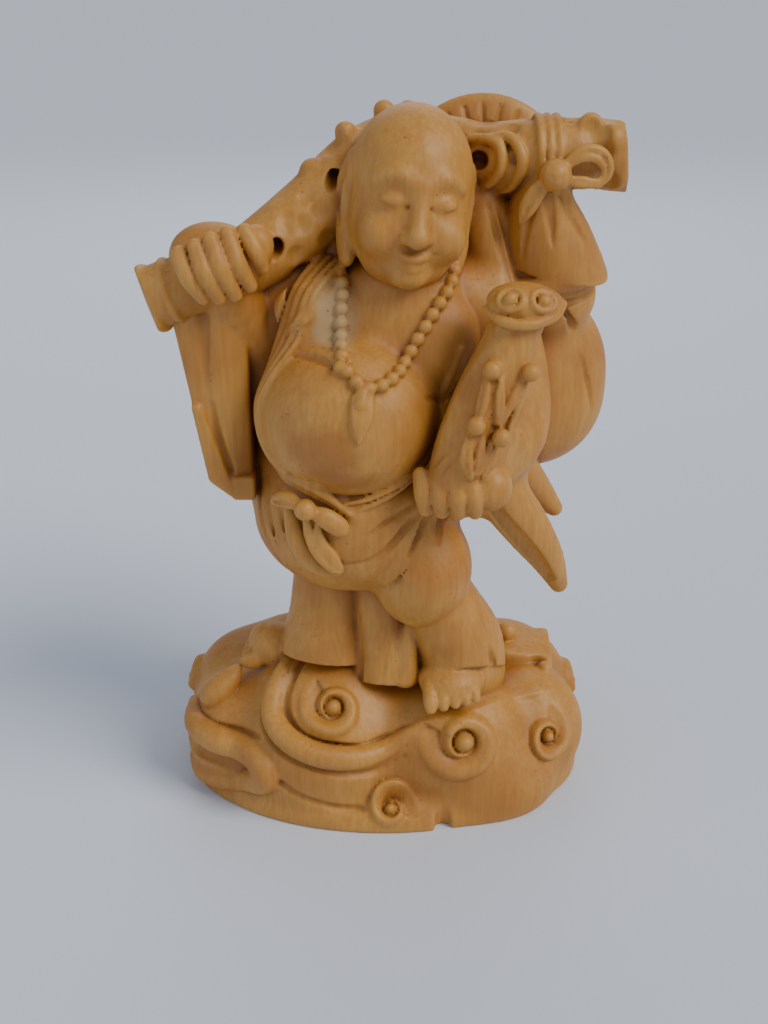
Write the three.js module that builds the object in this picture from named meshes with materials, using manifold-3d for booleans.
// A laughing-buddha statue carved from one block of boxwood: a stout monk on a cloud, with a branch
// over his shoulders, a sack and a sun hat hung behind him, and a sceptre at his side.
//
// Millimetres, +Z up. The figure faces -Y. The origin is the middle of the flat underside.
//
// The carving is one distance field. A form is a function of a point that says how far the point is
// from the form's skin, below zero inside. Forms melt into each other as carved masses do, and the
// finished field becomes one closed mesh.
import * as THREE from "three";
import { edgeTable, triTable } from "three/addons/objects/MarchingCubes.js";
import { mergeVertices } from "three/addons/utils/BufferGeometryUtils.js";
import Module from "manifold-3d";

const wasm = await Module();
wasm.setup();

// Driving dimensions. A size with three numbers is a form's radius along X, Y and Z. A scroll's ridge
// is so many times its size.
const PLINTH = [43.5, 29, 9];
const SCROLL_WIDTH = 0.26;
const BELLY = [17.2, 16.5, 16];
const BELLY_AT = [-6.5, -10.5, 88.5];
const SKULL = [11.9, 12.6, 12.4];
const HEAD_AT = [4.6, -5, 128];
const HEAD_TURN = [0, 8, 8];
const SACK = [15.6, 14.5, 18];
const HAT_RADIUS = 17;
const HAT_AT = [19, 14, 126.5];
const BEAD = 1.5;
const BEADS = 19;

// How finely the field is sampled, how many triangles the finished carving keeps, how much more its
// face counts when it is pared down, and the box that the carving lies in.
const CELL = 1;
const TRIANGLES = 9800;
const FACE_CARE = 6;
const LOW = [-50, -34, -4];
const HIGH = [52, 42, 150];

// Forms: { field(x, y, z), centre, reach }. No skin lies outside the ball of radius reach round
// centre, so a point far from that ball can skip the form.

// An egg with its own radius along each axis, turned by degrees about X, then Y, then Z.
function egg(centre, radii, turn = [0, 0, 0]) {
  const [cx, cy, cz] = centre;
  const [rx, ry, rz] = radii;
  const euler = new THREE.Euler(...turn.map(THREE.MathUtils.degToRad), "ZYX");
  const m = new THREE.Matrix4().makeRotationFromEuler(euler).elements;
  const field = (x, y, z) => {
    const [dx, dy, dz] = [x - cx, y - cy, z - cz];
    const u = (m[0] * dx + m[1] * dy + m[2] * dz) / rx;
    const v = (m[4] * dx + m[5] * dy + m[6] * dz) / ry;
    const w = (m[8] * dx + m[9] * dy + m[10] * dz) / rz;
    const near = Math.hypot(u, v, w);
    const slope = Math.hypot(u / rx, v / ry, w / rz);
    return slope > 0 ? (near * (near - 1)) / slope : -Math.min(rx, ry, rz);
  };
  return { field, centre, reach: Math.max(rx, ry, rz) };
}

// Points along the smooth curve through stations, which are lists of numbers, [x, y, z, radius].
function smooth(stations, steps) {
  const last = stations.length - 1;
  const at = (i) => stations[THREE.MathUtils.clamp(i, 0, last)];
  const points = [];
  for (let i = 0; i < last; i++) {
    for (let s = 0; s < steps; s++) {
      const t = s / steps;
      const [a, b, c, d] = [at(i - 1), at(i), at(i + 1), at(i + 2)];
      points.push(b.map((_, j) => 0.5 * (2 * b[j] + t * (c[j] - a[j]
        + t * (2 * a[j] - 5 * b[j] + 4 * c[j] - d[j] + t * (3 * (b[j] - c[j]) + d[j] - a[j]))))));
    }
  }
  return [...points, at(last)];
}

// A limb through stations [x, y, z, radius]. With flat, a unit direction, it is a strap whose
// thickness along flat is thin times its width.
function limb(stations, flat = [0, 0, 1], thin = 1) {
  const points = smooth(stations, 4);
  const [fx, fy, fz] = flat;
  const grow = 1 / thin - 1;
  const stretched = points.map(([x, y, z, r]) => {
    const s = (x * fx + y * fy + z * fz) * grow;
    return [x + s * fx, y + s * fy, z + s * fz, r];
  });
  const bones = stretched.slice(1).map((b, i) => {
    const a = stretched[i];
    const [dx, dy, dz, dr] = b.map((value, j) => value - a[j]);
    return [...a, dx, dy, dz, dr, 1 / (dx * dx + dy * dy + dz * dz + 1e-9)];
  });
  const field = (x, y, z) => {
    const s = (x * fx + y * fy + z * fz) * grow;
    const [u, v, w] = [x + s * fx, y + s * fy, z + s * fz];
    let best = Infinity;
    for (const [ax, ay, az, ar, dx, dy, dz, dr, scale] of bones) {
      const px = u - ax;
      const py = v - ay;
      const pz = w - az;
      const t = Math.min(Math.max((px * dx + py * dy + pz * dz) * scale, 0), 1);
      const gap = Math.hypot(px - t * dx, py - t * dy, pz - t * dz) - ar - t * dr;
      if (gap < best) best = gap;
    }
    return best * thin;
  };
  const box = new THREE.Box3().setFromPoints(points.map((p) => new THREE.Vector3(...p)));
  const thickest = Math.max(...points.map((p) => p[3]));
  return {
    field,
    centre: box.getCenter(new THREE.Vector3()).toArray(),
    reach: box.getSize(new THREE.Vector3()).length() / 2 + thickest,
  };
}

// Everything beyond a plane through a point, on the side that outward points to.
function side(point, outward) {
  const n = new THREE.Vector3(...outward).normalize();
  const offset = n.dot(new THREE.Vector3(...point));
  return { field: (x, y, z) => offset - (n.x * x + n.y * y + n.z * z), centre: point, reach: Infinity };
}

// The lower of two distances, rounded over where they differ by less than k.
function soften(a, b, k) {
  const h = Math.max(k - Math.abs(a - b), 0);
  return Math.min(a, b) - (h * h) / (4 * k);
}

// The smallest ball round several forms.
function around(forms) {
  const box = new THREE.Box3();
  for (const { centre, reach } of forms) {
    box.expandByPoint(new THREE.Vector3(...centre).addScalar(reach));
    box.expandByPoint(new THREE.Vector3(...centre).addScalar(-reach));
  }
  const centre = box.getCenter(new THREE.Vector3());
  const reaches = forms.map((f) => centre.distanceTo(new THREE.Vector3(...f.centre)) + f.reach);
  return { centre: centre.toArray(), reach: Math.max(...reaches) };
}

// How far a point is from a form's ball.
function gapTo({ centre: [cx, cy, cz], reach }, x, y, z) {
  return Math.hypot(x - cx, y - cy, z - cz) - reach;
}

// Forms joined, with the creases between them filled over about k.
function melt(k, ...forms) {
  const field = (x, y, z) => {
    let d = Infinity;
    for (const form of forms) {
      const gap = gapTo(form, x, y, z);
      if (gap > d + k) continue;
      const e = Math.max(form.field(x, y, z), gap);
      d = d === Infinity ? e : soften(d, e, k);
    }
    return d;
  };
  return { field, ...around(forms) };
}

// A form with others cut out of it, the cuts' rims rounded over about k.
function carve(k, form, ...cuts) {
  const field = (x, y, z) => {
    let d = form.field(x, y, z);
    for (const cut of cuts) {
      if (-gapTo(cut, x, y, z) < d - k) continue;
      d = -soften(-d, cut.field(x, y, z), k);
    }
    return d;
  };
  return { ...form, field };
}

// A form turned about a point by degrees about X, then Y, then Z.
function turned(form, about, turn) {
  const euler = new THREE.Euler(...turn.map(THREE.MathUtils.degToRad), "ZYX");
  const m = new THREE.Matrix4().makeRotationFromEuler(euler).elements;
  const [px, py, pz] = about;
  const field = (x, y, z) => {
    const [dx, dy, dz] = [x - px, y - py, z - pz];
    return form.field(
      px + m[0] * dx + m[1] * dy + m[2] * dz,
      py + m[4] * dx + m[5] * dy + m[6] * dz,
      pz + m[8] * dx + m[9] * dy + m[10] * dz,
    );
  };
  const offset = new THREE.Vector3(...form.centre).sub(new THREE.Vector3(...about));
  const centre = offset.applyEuler(euler).add(new THREE.Vector3(...about)).toArray();
  return { field, centre, reach: form.reach };
}

// The slope of a form's field at a point.
function slopeOf(form, point) {
  const STEP = 0.05;
  const here = form.field(...point);
  return point.map((_, i) => {
    const beside = [...point];
    beside[i] += STEP;
    return (form.field(...beside) - here) / STEP;
  });
}

// Stations pulled onto a form's skin along its slope, and lifted off it by so much.
function laid(form, stations, lift = 0) {
  return stations.map(([x, y, z, ...radius]) => {
    let spot = [x, y, z];
    for (let step = 0; step < 6; step++) {
      const gap = form.field(...spot) - lift;
      const slope = slopeOf(form, spot);
      const steep = Math.max(slope[0] ** 2 + slope[1] ** 2 + slope[2] ** 2, 0.1);
      spot = spot.map((value, i) => value - (gap * slope[i]) / steep);
    }
    return [...spot, ...radius];
  });
}

// A line laid along a form's skin, which stands up where it is melted in and cuts where it is carved.
const ridge = (form, stations, lift = 0) => limb(laid(form, stations, lift));

// A fold in the robe from one point to another, sagging a little, deepest in the middle.
function fold(from, to, depth) {
  const stations = [];
  for (const t of [0, 0.3, 0.6, 1]) {
    const spot = from.map((value, i) => value + t * (to[i] - value));
    spot[2] -= 4 * t * (1 - t);
    stations.push([...spot, depth * (0.4 + Math.sin(Math.PI * Math.min(t + 0.1, 0.9)) * 0.8)]);
  }
  return ridge(cloth, stations);
}

// Points at equal spaces along a line of points, the ends included.
function evenly(line, count) {
  const runs = [0];
  for (let i = 1; i < line.length; i++) {
    runs.push(runs[i - 1] + Math.hypot(...line[i].map((value, j) => value - line[i - 1][j])));
  }
  const spots = [];
  for (let n = 0; n < count; n++) {
    const run = (runs.at(-1) * n) / (count - 1);
    const i = Math.min(runs.findIndex((value) => value >= run - 1e-9), line.length - 1) || 1;
    const t = (run - runs[i - 1]) / (runs[i] - runs[i - 1]);
    spots.push(line[i - 1].map((value, j) => value + t * (line[i][j] - value)));
  }
  return spots;
}

// A ball.
function ball(centre, radius) {
  const [cx, cy, cz] = centre;
  return { field: (x, y, z) => Math.hypot(x - cx, y - cy, z - cz) - radius, centre, reach: radius };
}

// A form moved by an offset.
function moved(form, [mx, my, mz]) {
  const [cx, cy, cz] = form.centre;
  return {
    field: (x, y, z) => form.field(x - mx, y - my, z - mz),
    centre: [cx + mx, cy + my, cz + mz],
    reach: form.reach,
  };
}

// A form's mirror image across x = 0.
function mirrored(form) {
  const [cx, cy, cz] = form.centre;
  return { field: (x, y, z) => form.field(-x, y, z), centre: [-cx, cy, cz], reach: form.reach };
}

// The cloud that the monk stands on: a broad plinth, and billows that rise to its crown.
const billows = melt(4,
  egg([0, 4, 1], PLINTH),
  egg([-31, -2, 11], [12.5, 13, 13.5]),
  egg([-32, 13, 11], [12, 15, 14]),
  egg([-19, 17, 13], [18, 16, 14]),
  egg([-12, -3, 14], [20, 17, 18.5]),
  egg([-12, -12, 12], [17, 11.5, 14]),
  egg([13, -8, 14], [18, 14.5, 14.5]),
  egg([32, -1, 11], [12, 12, 13.5]),
  egg([27, 14, 11], [16, 18, 15.5]),
  egg([22, -12, 6], [14, 10, 11]),
);

// A scroll on the cloud: a ridge that winds in to a bud, round a hollow. It starts at so many
// degrees and winds anticlockwise for hand 1, clockwise for hand -1, seen from outside.
function scroll({ at, size, start, turns, hand }) {
  const [centre] = laid(billows, [at]);
  const out = new THREE.Vector3(...slopeOf(billows, centre)).normalize();
  const across = new THREE.Vector3(0, 0, 1).cross(out).normalize();
  const up = out.clone().cross(across);
  const width = SCROLL_WIDTH * size;
  const STEPS = 12;
  const stations = [];
  for (let i = 0; i <= STEPS; i++) {
    const part = i / STEPS;
    const angle = THREE.MathUtils.degToRad(start + hand * 360 * turns * part);
    const radius = size * (1 - 0.75 * part ** 1.5);
    const spot = new THREE.Vector3(...centre)
      .addScaledVector(across, radius * Math.cos(angle))
      .addScaledVector(up, radius * Math.sin(angle));
    stations.push([...spot.toArray(), width * (0.6 + 0.5 * Math.sin(Math.PI * part ** 0.6))]);
  }
  const bud = ball(centre, width * 1.15);
  return {
    curl: melt(0.8, ridge(billows, stations, 0.2), bud),
    hollow: ball(laid(billows, [at], 1.5)[0], size * 0.8),
  };
}

const scrolls = [
  { at: [-35.5, -5, 23.5], size: 7.5, start: 20, turns: 0.9, hand: 1 },
  { at: [-10.3, -17, 26], size: 7, start: 115, turns: 1.1, hand: 1 },
  { at: [15.5, -21, 18.5], size: 8, start: 150, turns: 1.2, hand: 1 },
  { at: [34.5, -12, 16.5], size: 6.5, start: 60, turns: 1.2, hand: 1 },
  { at: [34, 2, 25], size: 6, start: 160, turns: 0.9, hand: -1 },
  { at: [0, -24.5, 4.5], size: 5, start: -40, turns: 1.1, hand: -1 },
  { at: [44, 14, 13], size: 6.5, start: 200, turns: 1.2, hand: 1 },
  { at: [26, 31, 15], size: 8, start: 150, turns: 1.3, hand: 1 },
  { at: [-1, 34, 11], size: 7, start: 30, turns: 1.2, hand: -1 },
  { at: [-23, 32, 15], size: 8, start: 30, turns: 1.3, hand: -1 },
  { at: [-44, 14, 14], size: 6.5, start: -20, turns: 1.2, hand: -1 },
].map(scroll);

const cloud = melt(0.8,
  carve(1.2, billows,
    ...scrolls.map(({ hollow }) => hollow),
    ridge(billows, [[-18, -10, 30, 1.2], [-20, -16, 23, 1.8], [-15, -21, 18.5, 1.8], [-5, -21.5, 18, 1.8],
      [2, -17, 23, 1]]),
    limb([[-42, -8, 7, 2.5], [-35, -13, 9, 3], [-28.5, -18, 9.5, 2]]),
    ridge(billows, [[-29, -18, 6, 1], [-22, -21, 7.5, 1.2], [-12, -23.5, 5, 1], [-6, -24.5, 3.5, 0.8]]),
    limb([[12.5, -27, 8, 1.5], [12.5, -26, 4, 2], [13, -25, -2, 3]]),
    ridge(billows, [[-38, 20, 6, 1], [-20, 34, 4, 1.5], [0, 34, 3, 1.5], [22, 33, 4, 1.5], [40, 20, 6, 1]]),
  ),
  ...scrolls.map(({ curl }) => curl),
  ridge(billows, [[-18, -1, 31.5, 0.8], [-21.5, -6.5, 30, 1.8], [-23, -13, 25.5, 2.2],
    [-15, -22.5, 17.5, 2.2], [-1, -20.5, 15.6, 2], [8.5, -18.5, 23.6, 1.4], [22, -13, 25.3, 1],
    [40, -1, 20.2, 0.8]]),
  ridge(billows, [[-42, -3, 15, 1.2], [-33.7, -14.5, 15, 2.8], [-27, -18, 14.5, 3.2], [-22.5, -21, 11.5, 3],
    [-25, -20.5, 7, 2.6], [-38, -11, 3, 1.6]]),
);

// Bare skin: the belly, the breasts, the chest and the neck, with the navel's crease.
const torso = carve(0.6,
  melt(1.6,
    egg(BELLY_AT, BELLY),
    egg([1.5, -1, 104], [17.5, 12.5, 13]),
    egg([-12, -7, 105.5], [7, 7, 8.5], [0, 12, 0]),
    egg([9.5, -7.5, 101.5], [9, 7, 8.5], [0, -20, 0]),
    egg([4, -3, 112], [10, 9, 7]),
  ),
  limb([[-16, -26.5, 79.5, 0.4], [-14, -27, 78.6, 0.8], [-12, -26.5, 78.2, 0.4]]),
);

// The robe: over the shoulders and the back, round the hips, a sleeve under each hand, and a tail.
const cloth = melt(3,
  egg([0, 3, 98], [21, 13.5, 19]),
  egg([-1, 5, 86], [21, 13.5, 22]),
  egg([-4, 1, 72], [24.5, 15, 17]),
  egg([-6, -5, 66], [20, 17, 16.5]),
  egg([7.5, -9.5, 55], [10.2, 11, 12.5]),
  limb([[-8, 1, 110, 7.5], [-18, 0, 107, 9], [-25, -2, 103, 9], [-29, -7, 110, 6.5], [-30, -9, 115, 6]]),
  limb([[-30.5, -4, 104, 8], [-29, -3, 90, 8], [-28, -3, 77, 7]], [0, 1, 0], 0.8),
  limb([[-22, -1, 100, 8], [-23, 0, 88, 7]]),
  limb([[12, 0, 108, 8], [20, -1, 104, 8], [24, -4, 94, 7.5], [24, -8, 84, 7.5], [19, -14, 79, 6],
    [15, -18, 78, 4.5]]),
  limb([[24, -7, 84, 5.5], [27, -8, 72, 4.5], [31, -6, 58, 4.5], [36, -3, 47, 2.5]]),
  limb([[27, 2, 72, 4], [31, 4, 66, 3.5], [35, 4, 62, 2]]),
);

// Folds fan out from where the hand gathers the skirt, and others sweep down its side and its back.
const fan = [[-8.3, -22, 66], [-7.5, -21, 60.8], [3, -19.5, 58], [10, -17.4, 60]]
  .map((end) => fold([11, -14, 71], end, 1));
const sweep = [
  [[-27, -8, 77], [-14, -16, 52]],
  [[-22.5, -13, 75], [-11, -18, 55]],
  [[-28, 4, 72], [-12, 12, 53]],
]
  .map(([top, end]) => fold(top, end, 1.2));
const back = [[-4, -14, 12], [4, -22, 7], [-16, -27, -1], [14, 3, 18]]
  .map(([top, left, right], i) => fold([left, 12, 110 - 5 * i], [right, 14, 62 - 4 * i], 1.4));
const hollows = [
  limb([[-24.8, -8.5, 91, 1.6], [-25.4, -9.5, 84, 2.4], [-26.2, -9.5, 77.5, 1.8]]),
  ridge(cloth, [[-33.1, -11, 106.3, 1.6], [-33.8, -9.3, 98.4, 1.2], [-34.1, -8.1, 91, 0.4]]),
  ridge(cloth, [[-32.2, -8.7, 90, 0.7], [-31.3, -8.5, 82, 1], [-28.7, -8, 74, 0.8]]),
  ridge(cloth, [[17, -14, 68, 1], [24, -12.5, 62, 2.2], [30, -10.5, 55, 1.8], [34, -6.5, 50, 1]]),
  ridge(cloth, [[16.5, -23, 103, 1], [14, -13, 97, 1.4], [12.5, -8, 90, 1.2]]),
];
const folded = carve(0.8, cloth, ...fan, ...sweep, ...back, ...hollows);

// The robe's rolled edges round the bare skin, and the bow of the sash below the belly.
const robe = melt(0.8, folded,
  ridge(folded, [[-9.5, -4, 117, 1.3], [-17.5, -9, 106.5, 1.4], [-22.8, -10, 94.5, 1.4],
    [-23.2, -12, 84, 1.4], [-19.5, -17.5, 78, 1.6], [-14.5, -21.5, 75.5, 1.7], [-9.5, -22.5, 73, 1.6],
    [-5, -21.5, 71, 1]], 0.6),
  ridge(folded, [[-14, -5, 116, 1], [-23, -9.5, 101, 1.2], [-26, -9, 88, 1.2], [-24, -13, 79, 1.1],
    [-20, -17, 74, 0.8]], 0.3),
  ridge(folded, [[16.8, -15, 102, 1], [12.5, -11, 92, 1.5], [11, -10, 83, 1.6], [4.6, -18, 75, 1.7],
    [-6, -21.8, 71.2, 1.1]], 0.6),
  ball([-14.3, -20.5, 72.6], 2.3),
  ridge(folded, [[-14, -20, 73, 1.2], [-18.8, -17.5, 74, 1.6], [-20, -16.5, 71, 1.4],
    [-14, -20, 72, 1]], 0.8),
  ridge(folded, [[-13, -21, 72.5, 1.2], [-8, -22, 72, 1.6], [-7.5, -22, 69, 1.5], [-13, -21, 71.5, 1]], 0.8),
  ridge(folded, [[-13.5, -21, 71, 1.2], [-11.5, -21.5, 65.5, 1.5], [-7, -21, 58.5, 1]], 0.6),
  ridge(folded, [[-31, -4, 71, 1.5], [-28.5, -6.5, 72, 2.2], [-26.5, -8, 74, 1.8]]),
);

// The skirted shins, the drapery that fills the space between and behind them, and both feet.
const toes = [];
for (let i = 0; i < 5; i++) {
  const shrink = 1 - 0.14 * i;
  toes.push(egg([8 + 2.7 * i, -21 + 0.35 * (i - 1.5) ** 2, 28.2 + 0.5 * i], [2 * shrink, 3, 2.2 * shrink]));
}
const legs = melt(1,
  limb([[-11.5, -2, 48, 8.5], [-12, -3, 38, 8.5], [-12.5, -4, 29, 9.5]]),
  limb([[9, -8, 50, 8], [13, -8, 40, 9], [15, -7, 30, 10]]),
  carve(1,
    melt(2,
      egg([-1, -7, 35], [7.5, 7, 13]),
      limb([[-2, 4, 58, 12], [-1, 5, 44, 12.5], [0, 5, 28, 14]], [0, 1, 0], 0.75),
    ),
    limb([[-2, -14.5, 44, 0.8], [-0.5, -14.5, 36, 1.2], [1, -13.5, 29, 1]]),
    ...[-9, -1, 7].map((x) => limb([[x, 14, 56, 0.8], [x, 15, 42, 1.5], [x * 1.2, 16, 26, 1.7]])),
  ),
  egg([13.5, -15, 29.5], [6, 7, 4.2]),
  ...toes,
  egg([-23, 1, 32.5], [6, 4, 4.8], [0, 30, 0]),
);

// The bald head with its long ears, modelled upright round its middle and then tilted.
const both = (form) => [form, mirrored(form)];
const skull = melt(2,
  egg([0, 1.5, 3.5], SKULL),
  egg([0, -2, -4.5], [11, 9.6, 11]),
  egg([0, -4.5, -11], [8, 5.5, 4.5]),
);
const softFace = melt(1.8, skull,
  ...both(egg([6, -8.5, -5.8], [4.3, 3.4, 3.8])),
  egg([0, -9.5, -12.4], [3.6, 2.8, 2.4]),
  limb([[0, -10.4, 3, 1.2], [0, -12.2, -2, 1.5], [0, -13.4, -4.8, 2.1]]),
  ...both(limb([[1.6, -10.2, 3.4, 0.9], [4.6, -9.9, 5, 1.1], [8.2, -7.9, 3.4, 0.8]])),
);
const ear = carve(0.5,
  limb([[11.8, 2, 4, 2.8], [12.4, 3, -1, 3], [12.3, 2, -6, 2.6], [11.4, 1, -11, 3]], [1, 0, 0], 0.5),
  limb([[13.8, 0.8, 3.2, 1], [14.2, 2, -1, 1.2], [13.8, 1.4, -5, 0.8]]),
);
const face = melt(0.6, softFace,
  ...both(egg([1.9, -12.2, -5.2], [1.4, 1.6, 1.2])),
  ...both(egg([4.7, -9.3, 0.4], [2.8, 2, 1.9])),
  limb([[-3.8, -10.2, -7.9, 0.5], [-1.3, -11.8, -8.7, 1], [0, -12, -8.9, 0.9], [1.3, -11.8, -8.7, 1],
    [3.8, -10.2, -7.9, 0.5]]),
  limb([[-2.6, -10.6, -10, 0.6], [0, -11.6, -10.7, 1.1], [2.6, -10.6, -10, 0.6]]),
  ...both(ear),
);
const closedFace = carve(0.4, face,
  limb([[-4.2, -11.4, -7.9, 0.4], [-1.6, -13.2, -9.6, 0.6], [1.6, -13.2, -9.6, 0.6],
    [4.2, -11.4, -7.9, 0.4]]),
  ...both(limb([[2.2, -11.2, -0.2, 0.4], [4.6, -11.6, -1.1, 0.6], [7.2, -10, -0.2, 0.4]])),
);
const head = turned(moved(closedFace, HEAD_AT), HEAD_AT, HEAD_TURN);

// The knotted branch across the shoulders, sawn off at both ends, drilled, and bound with cord.
const branch = limb([[-47, -8, 108, 6], [-38, -9, 112, 5.6], [-30, -8, 114, 5.4], [-20, -3, 119, 6.4],
  [-11, 2, 125.5, 6.8], [-3, 7, 132, 6.6], [5, 9, 135, 6], [12, 8, 134.5, 5.4], [20, 6, 132.5, 6.6],
  [30, 3, 134, 6.3], [38, 3, 134, 6], [48, 3.5, 133, 6]]);
const knots = [[-19, -4, 124, 2.6], [-13, 1, 131, 2.4], [-7, 4, 137.5, 2], [0, 8, 141.5, 1.8],
  [4.5, 9, 141.5, 1.6], [41, -2, 136, 2.6], [42, -1, 130, 2.4], [37, 0, 139, 2]];
const staff = carve(0.5,
  melt(1, branch,
    ridge(branch, [[-41.5, -13, 107, 0.9], [-41.5, -14.5, 111, 1], [-40.5, -12, 116, 0.9]]),
    ...knots.map(([x, y, z, radius]) => ball([x, y, z], radius)),
    limb([[23, 0, 138, 1.4], [22, -2, 133, 1.4], [22.5, 0, 128, 1.2]]),
    limb([[27, 2, 140.5, 1], [26.5, -3.5, 136, 1.2], [27, -3, 130, 1]]),
  ),
  side([-44, -8, 110], [-1, 0, -0.3]),
  side([44.5, 3, 134], [1, 0, 0]),
  limb([[-47, -8, 109, 3.6], [-40, -8.5, 111, 2.6]]),
  limb([[-20, -11, 120, 1.6], [-19, -5, 122, 1.3]]),
  limb([[-9, -5, 130.5, 1.6], [-8, 1, 132, 1.3]]),
  limb([[17, -2, 133.5, 1.8], [17.5, 3, 133, 1.6]]),
  limb([[33, 1, 141, 1.6], [33, 3, 136, 1.3]]),
);

// The tied sack that hangs from the branch, with a knot, two loops of cloth and a turned-over lip.
const bag = melt(3,
  egg([30, 13, 89], SACK),
  egg([29, 12, 83], [15.4, 14, 13.5]),
  limb([[30, 0, 131, 3.5], [29, 2, 124, 6], [30, 4, 115, 8.5], [32, 7, 107, 10]]),
);
const sack = melt(0.8,
  carve(0.8, bag,
    ridge(bag, [[29.3, -4, 127, 1.6], [29.8, -4.2, 123, 1.1], [30, -4.2, 119, 0.4]]),
    ridge(bag, [[33.4, -3.4, 109.2, 0.5], [36.8, 0.2, 101.4, 0.7], [41, 2, 84, 0.3]]),
    ridge(bag, [[25, -3, 113, 0.8], [31, -5, 110.2, 1], [42, 3, 112, 0.8]]),
  ),
  ball([30.5, -4, 131.5], 2.7),
  ridge(bag, [[26, -1, 116, 1], [30, -4.5, 113.2, 1.6], [36, -2, 115, 1.6], [40.5, 2.5, 113.5, 1.4]]),
  limb([[29, -4, 131, 1.6], [26, -4, 128.5, 2], [23.5, -2.5, 124.5, 1.8]], [0, 1, 0], 0.6),
  limb([[32, -4, 132, 1.4], [36, -3.5, 134, 1.8], [38.5, -3, 131, 1.6], [37.5, -2.5, 128.5, 1.2]],
    [0, 1, 0], 0.6),
);

// The round sun hat that hangs behind, with ribs at the front and a low crown at the back.
const disc = egg(HAT_AT, [HAT_RADIUS, 3, HAT_RADIUS], [-8, 0, 0]);
const onHat = (radius, degrees, y) => {
  const angle = THREE.MathUtils.degToRad(degrees);
  return [HAT_AT[0] + radius * Math.sin(angle), y, HAT_AT[2] + radius * Math.cos(angle), 0.5];
};
const ribs = [];
for (let degrees = -66; degrees <= 66; degrees += 13) {
  ribs.push(ridge(disc, [onHat(9, degrees, 10), onHat(16, degrees, 11)]));
}
const hat = melt(1, carve(0.3, disc, ...ribs), egg([19, 16, 126.5], [8.5, 4, 8.5]));

// The fist that grips the branch, and the hand that holds the sceptre, each with four fingers.
const fist = melt(0.4,
  egg([-30, -10, 117.5], [9.2, 7.2, 7.5], [0, 15, 0]),
  limb([[-37, -14.5, 118.5, 1.6], [-35.6, -17, 115.5, 1.7], [-33.6, -17.6, 111.6, 1.6]]),
  limb([[-35.2, -15.5, 121.5, 1.6], [-33.2, -18, 117, 1.8], [-30.6, -18.4, 111.4, 1.7]]),
  limb([[-32.2, -15.5, 123, 1.7], [-30.4, -18, 118, 1.9], [-27.6, -18.5, 112.6, 1.7]]),
  limb([[-29.2, -14.6, 124, 1.8], [-27.2, -17.2, 119, 1.9], [-24.8, -17.8, 114.2, 1.7]]),
  egg([-24, -12.5, 119], [3.4, 3.4, 4.6], [0, 20, 0]),
);
const hand = melt(0.5,
  egg([14.5, -20.5, 77.5], [8, 6, 5.5]),
  limb([[7.6, -22.5, 79.5, 1.3], [7.8, -24, 76, 1.4], [9, -22.5, 73.4, 1.2]]),
  limb([[10, -24.5, 80, 1.4], [10.3, -26, 76, 1.5], [11, -24.8, 72.4, 1.4]]),
  limb([[13, -25.8, 79.8, 1.5], [13.3, -27.3, 75.5, 1.6], [13.8, -25.8, 71.8, 1.5]]),
  limb([[16.2, -26, 79, 1.6], [16.5, -27, 75.2, 1.7], [16.8, -25.2, 71.8, 1.5]]),
  egg([19.8, -22, 77.8], [3.8, 4.2, 4]),
);

// The sceptre, with a scrolled head and two tiers of knotted ribbon.
const sceptre = melt(0.7,
  limb([[13, -22, 80, 5], [16, -22, 88, 6], [18.5, -21, 96, 5.6], [21, -20, 102, 4.8], [24, -18, 109, 4.6]]),
  carve(0.4,
    egg([24.8, -19, 112], [6.9, 4.6, 3.4], [12, 5, 0]),
    ball([21.8, -21.5, 114.2], 1.9),
    ball([27.6, -21.5, 113.8], 1.9),
  ),
  ball([21.9, -21, 113.4], 1.3),
  ball([27.4, -21, 113], 1.3),
  limb([[18, -20, 110.5, 0.9], [21, -23.4, 109.6, 1], [25, -24, 109.4, 1], [30, -21, 110.5, 0.9]]),
  ball([18.6, -24.8, 102], 1.8),
  ball([25.5, -23, 100.5], 1.8),
  limb([[18.4, -25, 101.5, 1.4], [18, -26.8, 97, 1.2], [18.6, -28, 92, 0.8]]),
  limb([[25.3, -23.5, 100, 1.4], [24.2, -25.5, 95, 1.2], [21.4, -27, 91, 0.8]]),
  ball([16.4, -27.8, 91.6], 1.7),
  ball([20.8, -26.6, 88.6], 1.8),
  limb([[16, -27.8, 91, 1.2], [14.2, -27.4, 85.5, 1.1], [15.6, -27.2, 80.5, 0.6]]),
  limb([[21.4, -26.4, 88, 1.2], [19, -27.4, 84, 1], [16.4, -27.2, 80.5, 0.6]]),
);

// The string of beads, evenly spaced along its line on the chest, and its tassel.
const string = laid(torso, smooth([[-8.2, -5, 115], [-7.9, -12, 109.7], [-7.8, -14.6, 104.7],
  [-6.8, -20.8, 100.2], [-2.7, -23.6, 97.6], [2.2, -20, 99.1], [5.6, -14, 103], [8.6, -12.5, 107.6],
  [12.4, -7, 114.6]], 12), 0.5);
const tassel = ridge(torso, [[-3.9, -24, 96.8, 1.7], [-4.1, -25.6, 94, 1.6], [-4.4, -26.8, 90, 0.6]], 0.5);
const necklace = melt(0.4, ...evenly(string, BEADS).map((spot) => ball(spot, BEAD)), tassel);

// The whole carving, and everything below a level a little under its flat underside.
const carving = melt(0.6, cloud, robe, legs, torso, head, staff, sack, hat, fist, hand, sceptre, necklace);
const figure = carve(0.1, carving, side([0, 0, -2], [0, 0, -1]));

// The corners of a sampling cell, in the order of the marching-cubes tables, and the two corners
// that each of its twelve edges joins.
const CORNERS = [[0, 0, 0], [1, 0, 0], [1, 1, 0], [0, 1, 0], [0, 0, 1], [1, 0, 1], [1, 1, 1], [0, 1, 1]];
const EDGES = [[0, 1], [1, 2], [3, 2], [0, 3], [4, 5], [5, 6], [7, 6], [4, 7], [0, 4], [1, 5], [2, 6],
  [3, 7]];

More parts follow.
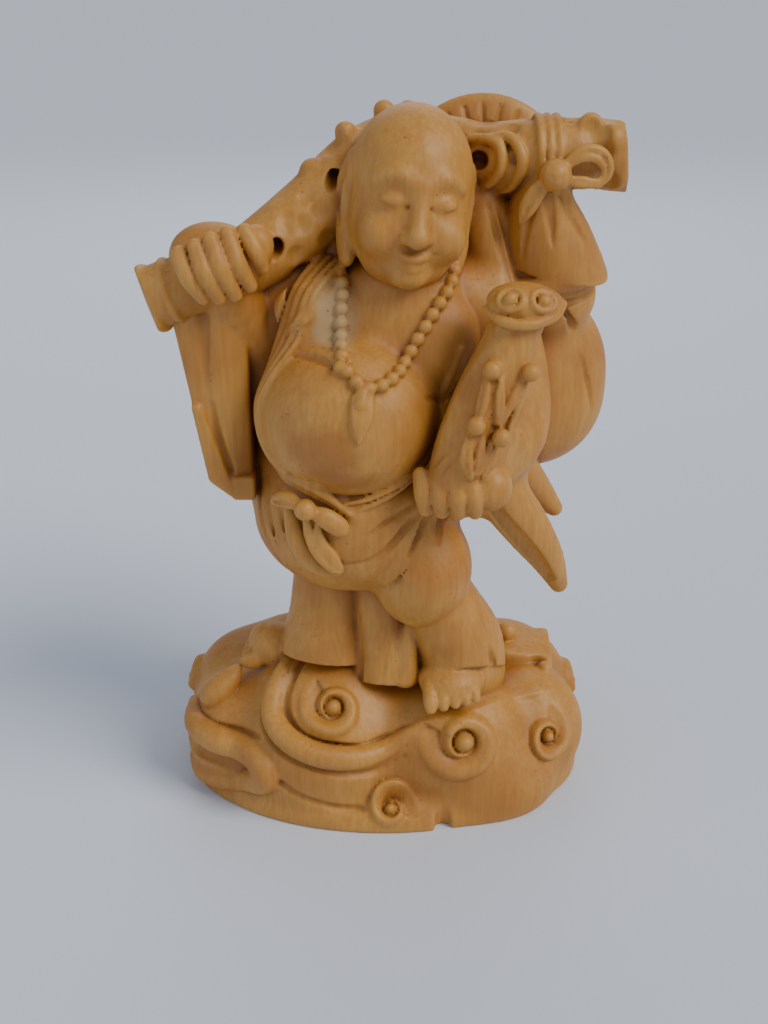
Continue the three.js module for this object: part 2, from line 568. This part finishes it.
// The field's zero surface over a box, as points and triangles. Blocks of cells that are well
// clear of the skin aren't sampled.
function skinOf(form, low, high, cell) {
  const BLOCK = 4;
  const size = low.map((v, i) => Math.ceil((high[i] - v) / cell / BLOCK) * BLOCK);
  const [nx, ny, nz] = size.map((n) => n + 1);
  const samples = new Float32Array(nx * ny * nz).fill(NaN);
  const index = (i, j, k) => i + nx * (j + ny * k);
  const place = (i, j, k) => [low[0] + i * cell, low[1] + j * cell, low[2] + k * cell];
  const sample = (i, j, k) => {
    const q = index(i, j, k);
    if (Number.isNaN(samples[q])) samples[q] = form.field(...place(i, j, k));
    return samples[q];
  };
  const points = [];
  const triangles = [];
  const made = new Map();
  const crossing = (i, j, k, edge) => {
    const [a, b] = EDGES[edge].map((c) => [i + CORNERS[c][0], j + CORNERS[c][1], k + CORNERS[c][2]]);
    const key = index(...a) * 3 + b.findIndex((v, axis) => v !== a[axis]);
    if (!made.has(key)) {
      const [da, db] = [sample(...a), sample(...b)];
      const t = THREE.MathUtils.clamp(da / (da - db), 0.02, 0.98);
      made.set(key, points.length);
      points.push(place(...a.map((v, axis) => v + t * (b[axis] - v))));
    }
    return made.get(key);
  };
  const cross = (i, j, k) => {
    let inside = 0;
    CORNERS.forEach(([x, y, z], c) => {
      if (sample(i + x, j + y, k + z) < 0) inside |= 1 << c;
    });
    if (edgeTable[inside] === 0) return;
    for (let t = inside * 16; triTable[t] !== -1; t += 3) {
      triangles.push([2, 1, 0].map((n) => crossing(i, j, k, triTable[t + n])));
    }
  };
  const safe = BLOCK * cell * 1.6;
  for (let k = 0; k < size[2]; k += BLOCK)
    for (let j = 0; j < size[1]; j += BLOCK)
      for (let i = 0; i < size[0]; i += BLOCK) {
        const middle = place(i + BLOCK / 2, j + BLOCK / 2, k + BLOCK / 2);
        if (Math.abs(form.field(...middle)) > safe) continue;
        for (let c = 0; c < BLOCK ** 3; c++) {
          cross(i + (c % BLOCK), j + (Math.floor(c / BLOCK) % BLOCK), k + Math.floor(c / BLOCK ** 2));
        }
      }
  return { points, triangles };
}

// The largest connected part of a skin, which leaves out hollows sealed inside the block.
function outerSkin({ points, triangles }) {
  const parent = points.map((_, i) => i);
  const rootOf = (v) => {
    let root = v;
    while (parent[root] !== root) root = parent[root];
    while (parent[v] !== root) [v, parent[v]] = [parent[v], root];
    return root;
  };
  for (const [a, b, c] of triangles) {
    parent[rootOf(b)] = rootOf(a);
    parent[rootOf(c)] = rootOf(a);
  }
  const counts = new Map();
  for (const [a] of triangles) counts.set(rootOf(a), (counts.get(rootOf(a)) ?? 0) + 1);
  const [[largest]] = [...counts].sort((p, q) => q[1] - p[1]);
  return { points, triangles: triangles.filter(([a]) => rootOf(a) === largest) };
}

// Merges the vertices that change the shape least until so many triangles are left. Each vertex
// sums the squared distances to the planes of the faces it has stood for, as ten coefficients, and
// care says how much more they count at a point.
function pare({ points, triangles }, keep, care) {
  const faces = triangles.map((t) => [...t]);
  const quadrics = points.map(() => new Float64Array(10));
  const around = points.map(() => new Set());
  const normalOf = (a, b, c) => {
    const [ux, uy, uz] = [b[0] - a[0], b[1] - a[1], b[2] - a[2]];
    const [vx, vy, vz] = [c[0] - a[0], c[1] - a[1], c[2] - a[2]];
    return [uy * vz - uz * vy, uz * vx - ux * vz, ux * vy - uy * vx];
  };
  faces.forEach((face, f) => {
    const [a, b, c] = face.map((v) => points[v]);
    const n = normalOf(a, b, c);
    const area = Math.hypot(...n) || 1e-12;
    const [x, y, z] = n.map((v) => v / area);
    const w = -(x * a[0] + y * a[1] + z * a[2]);
    const plane = [x * x, x * y, x * z, x * w, y * y, y * z, y * w, z * z, z * w, w * w];
    for (const v of face) {
      around[v].add(f);
      plane.forEach((value, i) => {
        quadrics[v][i] += value * area * care(a);
      });
    }
  });
  const errorAt = (q, [x, y, z]) =>
    q[0] * x * x + q[4] * y * y + q[7] * z * z + q[9] +
    2 * (q[1] * x * y + q[2] * x * z + q[3] * x + q[5] * y * z + q[6] * y + q[8] * z);
  // The place with the least error, where that is well defined, or else the best of three guesses.
  const bestPlace = (q, a, b) => {
    const middle = a.map((v, i) => (v + b[i]) / 2);
    const m = new THREE.Matrix3().set(q[0], q[1], q[2], q[1], q[4], q[5], q[2], q[5], q[7]);
    const span = Math.hypot(...a.map((v, i) => v - b[i]));
    if (Math.abs(m.determinant()) > 1e-6 * (q[0] + q[4] + q[7]) ** 3) {
      const p = new THREE.Vector3(-q[3], -q[6], -q[8]).applyMatrix3(m.invert()).toArray();
      if (Math.hypot(...p.map((v, i) => v - middle[i])) < span) return p;
    }
    return [middle, a, b].sort((p, r) => errorAt(q, p) - errorAt(q, r))[0];
  };
  const stamp = new Uint32Array(points.length);
  const heap = [];
  const push = (entry) => {
    let i = heap.push(entry) - 1;
    while (i > 0) {
      const parent = (i - 1) >> 1;
      if (heap[parent].cost <= entry.cost) break;
      heap[i] = heap[parent];
      i = parent;
    }
    heap[i] = entry;
  };
  const pop = () => {
    const top = heap[0];
    const entry = heap.pop();
    if (heap.length === 0) return top;
    let i = 0;
    for (;;) {
      let child = 2 * i + 1;
      if (child >= heap.length) break;
      if (child + 1 < heap.length && heap[child + 1].cost < heap[child].cost) child++;
      if (heap[child].cost >= entry.cost) break;
      heap[i] = heap[child];
      i = child;
    }
    heap[i] = entry;
    return top;
  };
  const LENGTH_COST = 1e-3;
  const offer = (a, b) => {
    const q = quadrics[a].map((v, i) => v + quadrics[b][i]);
    const place = bestPlace(q, points[a], points[b]);
    const span = Math.hypot(...points[a].map((v, i) => v - points[b][i]));
    push({ cost: Math.max(errorAt(q, place), 0) + LENGTH_COST * span ** 4, a, b, place, q,
      stamps: stamp[a] + stamp[b] });
  };
  const neighbours = (v) => new Set([...around[v]].flatMap((f) => faces[f]).filter((w) => w !== v));
  // Whether moving v to a place turns none of its faces, apart from those that vanish, by much.
  const keepsFaces = (v, other, place) => [...around[v]].every((f) => {
    if (faces[f].includes(other)) return true;
    const before = normalOf(...faces[f].map((w) => points[w]));
    const after = normalOf(...faces[f].map((w) => (w === v ? place : points[w])));
    const dot = before[0] * after[0] + before[1] * after[1] + before[2] * after[2];
    return dot > 0.3 * Math.hypot(...before) * Math.hypot(...after) && Math.hypot(...after) > 1e-4;
  });
  faces.forEach(([a, b, c]) => [[a, b], [b, c], [c, a]].forEach(([p, q]) => p < q && offer(p, q)));
  let left = faces.length;
  while (left > keep && heap.length) {
    const { a, b, place, q, stamps } = pop();
    if (!around[a].size || !around[b].size || stamp[a] + stamp[b] !== stamps) continue;
    const nearB = neighbours(b);
    if (!nearB.has(a) || [...neighbours(a)].filter((v) => nearB.has(v)).length !== 2) continue;
    if (!keepsFaces(a, b, place) || !keepsFaces(b, a, place)) continue;
    for (const f of [...around[b]]) {
      if (faces[f].includes(a)) {
        faces[f].forEach((v) => around[v].delete(f));
        faces[f] = null;
        left--;
      } else {
        faces[f][faces[f].indexOf(b)] = a;
        around[a].add(f);
      }
    }
    around[b].clear();
    points[a] = place;
    quadrics[a] = q;
    stamp[a]++;
    stamp[b]++;
    neighbours(a).forEach((v) => offer(a, v));
  }
  return { points, triangles: faces.filter(Boolean) };
}

// The finished carving, cut off flat at the underside.
function solidOf(geometry) {
  const merged = mergeVertices(new THREE.BufferGeometry()
    .setAttribute("position", geometry.getAttribute("position")).setIndex(geometry.index), 1e-4);
  return new wasm.Manifold(new wasm.Mesh({
    numProp: 3,
    vertProperties: merged.attributes.position.array,
    triVerts: new Uint32Array(merged.index.array),
  }));
}

function geometryOf({ points, triangles }) {
  return new THREE.BufferGeometry()
    .setAttribute("position", new THREE.Float32BufferAttribute(points.flat(), 3))
    .setIndex(triangles.flat());
}

function cutFlat(geometry) {
  const block = new THREE.BoxGeometry(120, 120, 20).translate(0, 0, -10);
  const { vertProperties, triVerts } = solidOf(geometry).subtract(solidOf(block)).getMesh();
  const cut = new THREE.BufferGeometry()
    .setAttribute("position", new THREE.BufferAttribute(vertProperties, 3))
    .setIndex(new THREE.BufferAttribute(triVerts, 1));
  cut.computeVertexNormals();
  return cut;
}

// The face keeps finer triangles than the rest.
const faceCare = ([x, y, z]) => {
  const [dx, dy, dz] = [x - HEAD_AT[0], y - HEAD_AT[1], z - HEAD_AT[2]];
  return dy < -4 && Math.hypot(dx, dy, dz) < 18 ? FACE_CARE : 1;
};

const block = new THREE.Mesh(
  cutFlat(geometryOf(pare(outerSkin(skinOf(figure, LOW, HIGH, CELL)), TRIANGLES, faceCare))),
  new THREE.MeshStandardMaterial({ color: 0xc99a55, roughness: 0.6, metalness: 0 }),
);
block.name = "statue";

const statue = new THREE.Group();
statue.add(block);
export default statue;
